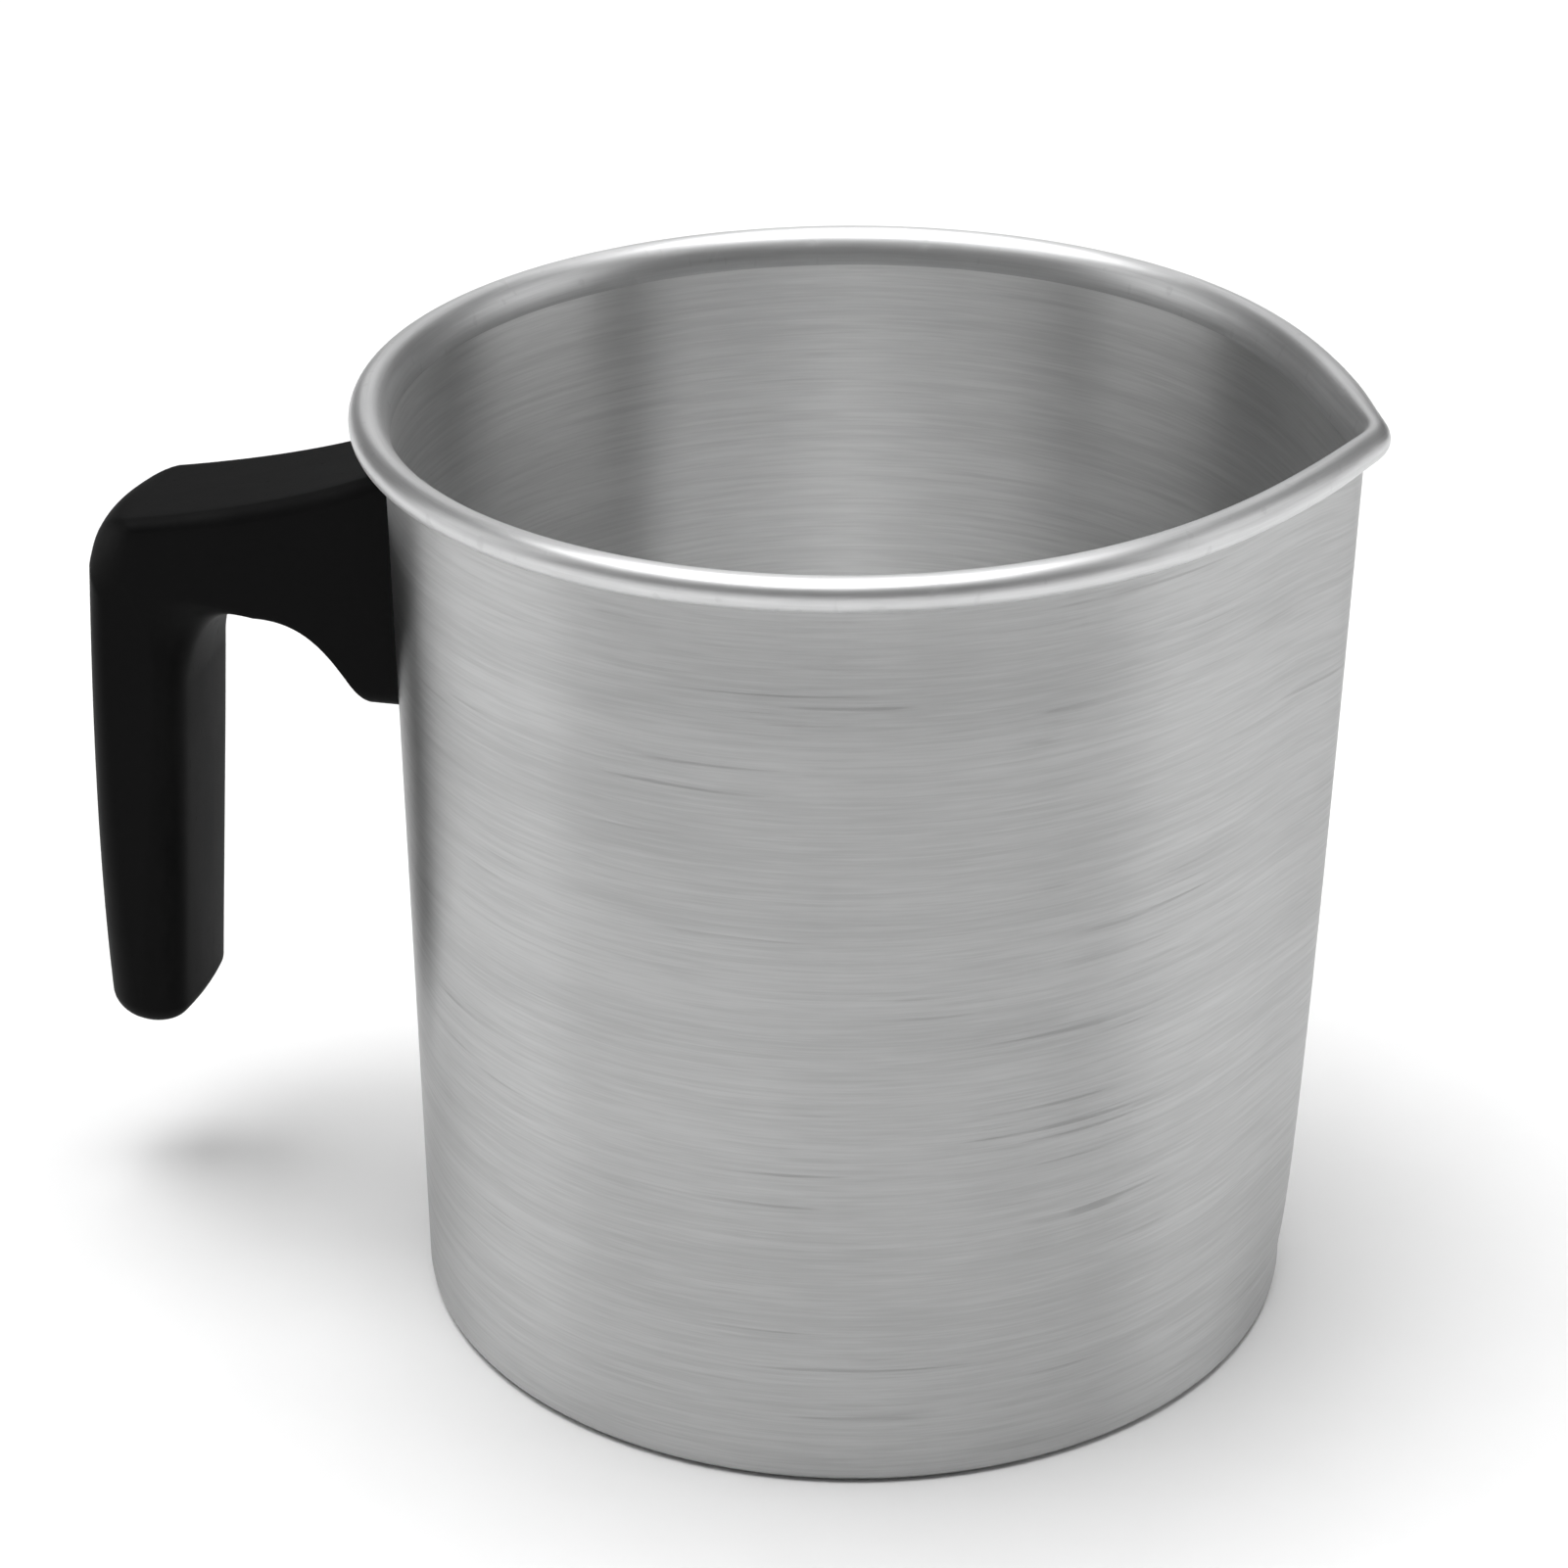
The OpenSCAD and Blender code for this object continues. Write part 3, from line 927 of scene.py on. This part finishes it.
def cylinder(
    name: str, r: float, low: float, high: float, axis: Sequence[float], at: Sequence[float], sides: int
) -> bpy.types.Object:
    """A plain round cutter along Z, or along -X where axis says so.

    Args:
        name: The cutter's name.
        r: Its radius.
        low: Where it starts along its axis.
        high: Where it ends.
        axis: (0, 0, 1) or (-1, 0, 0).
        at: Its axis's place across, as x and y, or as y and z.
        sides: How many sides stand for the circle.

    Returns:
        The cutter, in the scene.
    """
    turn = np.linspace(0, 2 * math.pi, sides, endpoint=False)
    a, b = r * np.cos(turn), r * np.sin(turn)
    rows = []
    for along in (low, high):
        if axis[2]:
            rows.append(np.stack([at[0] + a, at[1] + b, np.full(sides, along)], axis=1))
        else:
            rows.append(np.stack([np.full(sides, -along), at[0] - a, at[1] + b], axis=1))
    return cutter_of(name, np.stack(rows))


def block(name: str, reach: tuple[float, float], half: float, wide: float, z: float) -> bpy.types.Object:
    """A box cutter on the handle's side of the pot.

    Args:
        name: The cutter's name.
        reach: The distances from the pot's axis between which it lies.
        half: Half its height.
        wide: Its width.
        z: The height of its middle.

    Returns:
        The cutter, in the scene.
    """
    y = wide / 2
    ring = [(y, z - half), (-y, z - half), (-y, z + half), (y, z + half)]
    return cutter_of(name, np.array([[(-d, a, b) for a, b in ring] for d in reach]))


def cut(piece: bpy.types.Object, cutter: bpy.types.Object) -> None:
    """Take a cutter out of a piece for good.

    Args:
        piece: The piece, whose mesh is replaced by the cut one.
        cutter: The cutter, which is removed.
    """
    modifier = piece.modifiers.new("cut", "BOOLEAN")
    modifier.operation = "DIFFERENCE"
    modifier.solver = "EXACT"
    modifier.object = cutter
    graph = bpy.context.evaluated_depsgraph_get()
    mesh = bpy.data.meshes.new_from_object(piece.evaluated_get(graph))
    piece.modifiers.clear()
    old = piece.data
    mesh.name = old.name + "_cut"
    piece.data = mesh
    bpy.data.meshes.remove(old)
    bpy.data.objects.remove(cutter)


# ---------------------------------------------------------------- fixing


@dataclass
class Fixing:
    """The bracket, rivets, screw, washers and nut that hold the handle on."""

    head_h: float = 1.8
    head_rim: float = 0.15
    shank_r: float = 2.0
    tail_h: float = 1.5
    tail_r: float = 3.2
    tail_edge: float = 0.5
    dome_steps: int = 14
    edge_steps: int = 6
    sides: int = 64
    dressed: dict[str, Finish] = field(
        default_factory=lambda: {
            "handle_bracket": Finish.PLATED,
            "handle_screw": Finish.PLATED,
            "flat_washer": Finish.PLATED,
            "spring_washer": Finish.SPRING,
            "bracket_nut": Finish.PLATED,
        }
    )

    def rivet(self, node: str) -> bpy.types.Object:
        """One rivet, turned about its own axis along X.

        Its profile is a quarter-ellipse dome inside the pot, a plain shank, and a flat set tail with a
        rounded edge. The distances come from the CAD node's box.

        Args:
            node: The CAD node it stands for.

        Returns:
            The rivet.
        """
        low, high = (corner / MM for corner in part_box(node))
        axis_z = (low.z + high.z) / 2
        head_r = (high.y - low.y) / 2
        head_x, tail_x = high.x - self.head_h, low.x + self.tail_h
        b = np.linspace(0, math.pi / 2, self.dome_steps)
        dome = np.stack([high.x - self.head_h * (1 - np.cos(b)), head_r * np.sin(b)], axis=1)[1:]
        under = np.array([[head_x, head_r - self.head_rim], [head_x, self.shank_r]])
        shank = np.array([[tail_x, self.shank_r], [tail_x, self.tail_r]])
        b, edge = np.linspace(0, math.pi / 2, self.edge_steps), self.tail_edge
        tail = np.stack([low.x + edge - edge * np.sin(b), self.tail_r - edge + edge * np.cos(b)], axis=1)
        profile = np.vstack([dome, under, shank, tail])
        turn = np.linspace(0, 2 * math.pi, self.sides, endpoint=False)
        grid = np.stack(
            [
                np.repeat(profile[:, :1], self.sides, axis=1),
                profile[:, 1:] * np.cos(turn),
                axis_z + profile[:, 1:] * np.sin(turn),
            ],
            axis=-1,
        )
        mesh = grid_mesh(node + "_turned", grid, wrap=(False, True), caps=(True, True))
        mesh.flip_normals()
        mesh.set_sharp_from_angle(angle=math.radians(40))
        mesh.materials.append(Finish.RIVET.material())
        piece = show(node + "_turned", mesh)
        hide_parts(node)
        return piece

    def build(self) -> None:
        """Make the rivets, and dress the CAD nodes that stay."""
        for node in ("rivet_upper", "rivet_lower"):
            self.rivet(node)
        for node, finish in self.dressed.items():
            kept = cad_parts[node]
            kept.data.materials.clear()
            kept.data.materials.append(finish.material())
            LOG.info("%s: CAD node dressed in %s", node, finish.value.name)


# ---------------------------------------------------------------- studio


@dataclass
class Studio:
    """A plain white floor, a dim surround that is darker behind the camera, and soft boxes.

    The camera's distance and height are in millimetres. Each soft box has a name, an azimuth, an elevation
    and a power in watts.
    """

    turn: float = 12.5
    distance: float = 640.87
    eye_height: float = 410.41
    pitch: float = 26.418
    yaw: float = -1.0775
    roll: float = -0.468
    lens: float = 94.66
    floor_size: float = 24.0
    back: float = 0.08
    front: float = 0.02
    fade_from: float = -0.9
    fade_to: float = 0.6
    box_size: float = 3.0
    box_reach: float = 4.5
    aim_z: float = 0.08
    boxes: tuple[tuple[str, float, float, float], ...] = (
        ("overhead", 0, 89, 118.0),
        ("left_top", 90, 75, 91.0),
        ("right_top", -90, 75, 23.0),
        ("back_high", 180, 50, 16.0),
        ("back_low", 180, 20, 15.0),
        ("left_low", 90, 20, 26.0),
        ("right_low", -90, 20, 29.0),
        ("right_back", -135, 50, 4.5),
    )

    def rotation(self) -> Matrix:
        """The turn from the camera's own plan, where it looks along +Y, to the row's axes."""
        return Matrix.Rotation(math.radians(self.turn), 3, "Z")

    def camera(self) -> None:
        """Set the camera, by its distance, height, pitch, yaw and roll."""
        data = bpy.data.cameras.new("camera")
        data.lens = self.lens
        data.sensor_width = 36.0
        data.clip_start = 0.01
        camera = bpy.data.objects.new("camera", data)
        bpy.context.scene.collection.objects.link(camera)
        a, b, r = (math.radians(v) for v in (self.pitch, self.yaw, self.roll))
        ahead = Vector((math.sin(b) * math.cos(a), math.cos(b) * math.cos(a), -math.sin(a)))
        level = Vector((math.cos(b), -math.sin(b), 0.0))
        above = level.cross(ahead)
        right = level * math.cos(r) + above * math.sin(r)
        up = above * math.cos(r) - level * math.sin(r)
        spin = self.rotation()
        axes = Matrix((spin @ right, spin @ up, spin @ -ahead)).transposed()
        place = spin @ Vector((0.0, -self.distance, self.eye_height)) * MM
        camera.matrix_world = Matrix.Translation(place) @ axes.to_4x4()
        bpy.context.scene.camera = camera

    def floor(self) -> None:
        """Lay the floor, in a pale matt white with the faintest grain."""
        half = self.floor_size / 2
        mesh = bpy.data.meshes.new("floor")
        corners = [(-half, -half, 0), (half, -half, 0), (half, half, 0), (-half, half, 0)]
        mesh.from_pydata(corners, [], [(0, 1, 2, 3)])
        g = ShaderGraph.of_material("white_floor")
        x, y, _ = g.place()
        grain = g.noise((x * 0.05, y * 0.05, 0.0), detail=3.0)
        material = g.finish(Base_Color=g.blend(grain, (0.93, 0.93, 0.93), (0.96, 0.96, 0.96)), Roughness=0.9)
        mesh.materials.append(material)
        piece = bpy.data.objects.new("floor", mesh)
        bpy.context.scene.collection.objects.link(piece)

    def surround(self) -> None:
        """Light the scene faintly from all round: more from behind the pot than from behind the camera."""
        world = bpy.data.worlds.new("surround")
        bpy.context.scene.world = world
        g = ShaderGraph(world)
        way = g.add("ShaderNodeTexCoord", out="Generated")
        ahead = self.rotation() @ Vector((0.0, 1.0, 0.0))
        facing = g.add("ShaderNodeVectorMath", {"operation": "DOT_PRODUCT"}, {0: way, 1: ahead}, out="Value")
        strength = facing.ramp(self.fade_from, self.fade_to, self.front, self.back)
        background = g.add("ShaderNodeBackground", inputs={"Strength": strength})
        g.node("ShaderNodeOutputWorld", inputs={"Surface": background})

    def box(self, name: str, azimuth: float, elevation: float, power: float) -> None:
        """Hang one square soft box that faces the pot.

        Args:
            name: The light's name.
            azimuth: Degrees clockwise from the camera's side, seen from above.
            elevation: Degrees above the floor.
            power: Its power in watts.
        """
        data = bpy.data.lights.new(name, "AREA")
        data.shape = "SQUARE"
        data.size = self.box_size
        data.energy = power
        light = bpy.data.objects.new(name, data)
        bpy.context.scene.collection.objects.link(light)
        a, e = math.radians(azimuth), math.radians(elevation)
        way = Vector((-math.cos(e) * math.sin(a), -math.cos(e) * math.cos(a), math.sin(e)))
        place = self.rotation() @ way * self.box_reach
        aim = Vector((0.0, 0.0, self.aim_z)) - place
        light.matrix_world = Matrix.Translation(place) @ aim.to_track_quat("-Z", "Y").to_matrix().to_4x4()

    def build(self) -> None:
        """Set the floor, the surround, the soft boxes and the camera."""
        bpy.context.scene.view_settings.view_transform = "Standard"
        self.floor()
        self.surround()
        for name, azimuth, elevation, power in self.boxes:
            self.box(name, azimuth, elevation, power)
        self.camera()


# ---------------------------------------------------------------- whole


def main() -> None:
    """Build the studio, the pot, its handle and its fixing, in that order."""
    logging.basicConfig(level=logging.INFO, format="%(name)s: %(message)s")
    Studio().build()
    PotSheet.from_frame().build()
    HookHandle.from_frame().build()
    Fixing().build()


if __name__ == "__main__":
    main()
